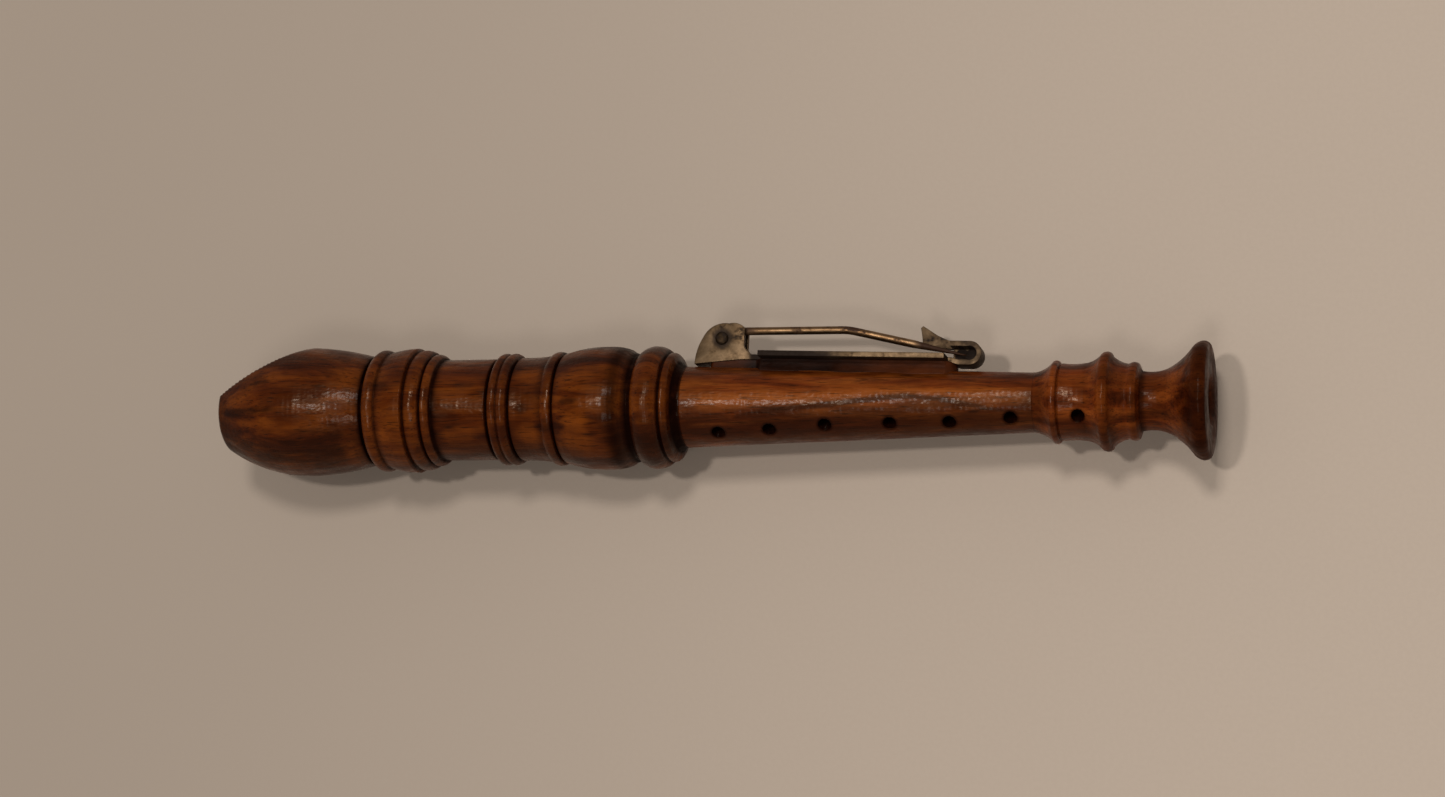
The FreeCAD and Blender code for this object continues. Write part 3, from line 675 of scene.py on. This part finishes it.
def build_pieces():
    """Every visible piece, on the body that carries it."""
    head_wood = wood("head_wood", deep=(0.024, 0.0033, 0.0005), body=(0.086, 0.0150, 0.0012),
                     light=(0.155, 0.0355, 0.0028))
    middle_wood = wood("middle_wood", deep=(0.042, 0.0066, 0.0008), body=(0.150, 0.0265, 0.0030),
                       light=(0.265, 0.067, 0.0085), gloss=0.34)
    foot_wood = wood("foot_wood", deep=(0.052, 0.0078, 0.0009), body=(0.190, 0.0325, 0.0035),
                     light=(0.310, 0.070, 0.0085))
    turned_piece("head_turned", "head_joint", head_wood, 176, bevel=beak_bevel(),
                 scorched=((0.0, 1.2, 0.5), (36.7, 0.7, 0.75)))
    turned_piece("middle_turned", "middle_joint", middle_wood, 176)
    turned_piece("foot_turned", "foot_joint", foot_wood, 160, mouth=bell_mouth(),
                 scorched=((72.6, 0.7, 0.45), (78.3, 0.9, 0.55), (80.4, 0.5, 0.5), (85.8, 2.0, 0.85)),
                 blackening=0.5)
    glue_piece(glue_material())
    sheet = metal("nickel_sheet", bright=(0.142, 0.096, 0.056), dull=(0.085, 0.054, 0.029),
                  stain_and_shade=(0.016, 0.007, 0.003), rough=0.40, stained=0.10, tarnish_and_shade=sheet_tarnish_and_shade)
    wire = metal("plated_wire", bright=(0.265, 0.165, 0.088), dull=(0.170, 0.098, 0.048),
                 stain_and_shade=(0.045, 0.017, 0.006), rough=0.30, stained=0.05, tarnish_and_shade=wire_tarnish_and_shade)
    rivet = metal("rivet_metal", bright=(0.040, 0.026, 0.015), dull=(0.025, 0.016, 0.009),
                  stain_and_shade=(0.016, 0.007, 0.003), rough=0.42, stained=0.14)
    softened_copy("bar_pin_sheet", "pin_back", sheet, "brooch", 0.055)
    softened_copy("bar_pin_rivet", "hinge_rivet", rivet, "rivet", 0.03)
    softened_copy("bar_pin_wire", "pin_stem", wire, "pin", 0.0)


# ---------------------------------------------------------------- stage, light and camera

WARM = (1.0, 0.93, 0.86)


def floor():
    """The table top under the brooch."""
    reach = 1.5
    mesh = bpy.data.meshes.new("table_top")
    mesh.from_pydata([(-reach, -reach, 0), (reach, -reach, 0), (reach, reach, 0), (-reach, reach, 0)],
                     [], [(0, 1, 2, 3)])
    table = link("table_top", mesh)
    mesh.materials.append(table_material())


def lamp(name, slant_x, slant_y, size, energy, colour):
    """A round soft light; the slants are its sideways offsets per unit of height."""
    distance = 0.9
    light = bpy.data.lights.new(name, "AREA")
    light.shape = "DISK"
    light.size = size
    light.energy = energy
    light.color = colour
    made = link(name, light)
    direction = Vector((slant_x, slant_y, 1)).normalized()
    made.location = direction * distance
    made.rotation_euler = direction.to_track_quat("Z", "Y").to_euler()


def room():
    """A dim warm room, darker overhead than at the sides."""
    world = bpy.data.worlds.new("room")
    world.use_nodes = True
    nodes, links = world.node_tree.nodes, world.node_tree.links
    height = nodes.new("ShaderNodeSeparateXYZ")
    links.new(nodes.new("ShaderNodeTexCoord").outputs["Generated"], height.inputs[0])
    overhead = nodes.new("ShaderNodeMapRange")
    for key, value in (("From Min", 0.55), ("From Max", 0.95), ("To Min", 0.30), ("To Max", 0.11)):
        overhead.inputs[key].default_value = value
    links.new(height.outputs["Z"], overhead.inputs["Value"])
    walls = nodes["Background"]
    walls.inputs["Color"].default_value = (*WARM, 1.0)
    links.new(overhead.outputs["Result"], walls.inputs["Strength"])
    bpy.context.scene.world = world


def lights():
    """Ceiling lamps: left overhead, at the far side, and weakly at the near side."""
    lamp("left_lamp", -0.20, -0.02, size=0.07, energy=1.72, colour=WARM)
    lamp("far_lamp", 0.02, 0.34, size=0.17, energy=2.06, colour=WARM)
    lamp("near_lamp", 0.05, -0.52, size=0.20, energy=0.84, colour=(1.0, 0.95, 0.90))


def camera():
    """The photograph's view: from a little towards the bell and the near side, steeply down."""
    towards_near, to_bell, roll = math.radians(-12.5), 0.264, math.radians(0.8)
    aim_along, aim_up, distance = 45.15 * MM, 0.7 * MM, 264 * MM
    rest = math.sqrt(1 - to_bell ** 2)
    view = (ALONG * to_bell + PIN_SIDE * (rest * math.sin(towards_near))
            + UP * (rest * math.cos(towards_near)))
    right = (ALONG - view * ALONG.dot(view)).normalized()
    top = view.cross(right)
    right, top = (right * math.cos(roll) - top * math.sin(roll),
                  top * math.cos(roll) + right * math.sin(roll))
    data = bpy.data.cameras.new("camera")
    data.sensor_width = 36.0
    data.lens = 77.4
    data.clip_start = 0.01
    made = link("camera", data)
    turned = Matrix((right, top, view)).transposed().to_4x4()
    aim = TIP + ALONG * aim_along + top * aim_up
    made.matrix_world = Matrix.Translation(aim + view * distance) @ turned
    bpy.context.scene.camera = made


build_pieces()
floor()
lights()
room()
camera()
bpy.context.scene.view_settings.view_transform = "Standard"
